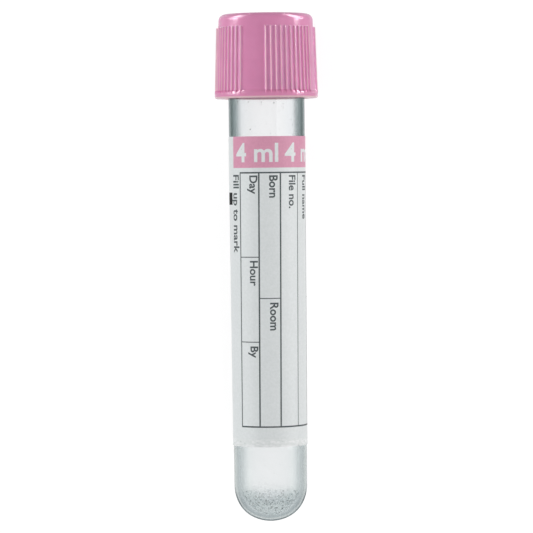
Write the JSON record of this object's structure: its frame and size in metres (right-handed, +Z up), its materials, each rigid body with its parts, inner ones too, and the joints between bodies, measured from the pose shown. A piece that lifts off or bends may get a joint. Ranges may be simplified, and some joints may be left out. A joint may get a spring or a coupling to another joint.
{
  "type": "blood collection tube",
  "caption": "Clear round-bottomed evacuated blood collection tube with a wrapped form label and a pink ribbed pull-off closure over a rubber stopper.",
  "frame": {"origin": "the bottom centre of the bounding box, on the surface that the tube lies on", "axes": "+Z up, the tube lies along X with its closure towards -X and its axis rising 2.2 degrees towards the closure"},
  "size_m": [0.0832, 0.0168, 0.017],
  "materials": {
    "clear_plastic": "clear, polished",
    "label_paper": "smooth coated label paper",
    "additive": "dried clear droplets",
    "pink_plastic": "satin moulded polyethylene",
    "stopper_rubber": "matt moulded butyl rubber",
    "black_plastic": "satin moulded"
  },
  "bodies": {
    "tube_body": {"tube": "clear_plastic", "label": "label_paper", "dried_additive": "additive"},
    "closure": {"cap_shell": "pink_plastic", "rubber_stopper": "stopper_rubber", "retaining_ring": "black_plastic"}
  },
  "joints": [
    {"name": "cap_pull", "type": "slide", "parent": "tube_body", "child": "closure", "axis": [-0.9993, 0, 0.0386], "range_m": [0, 0.025]}
  ]
}
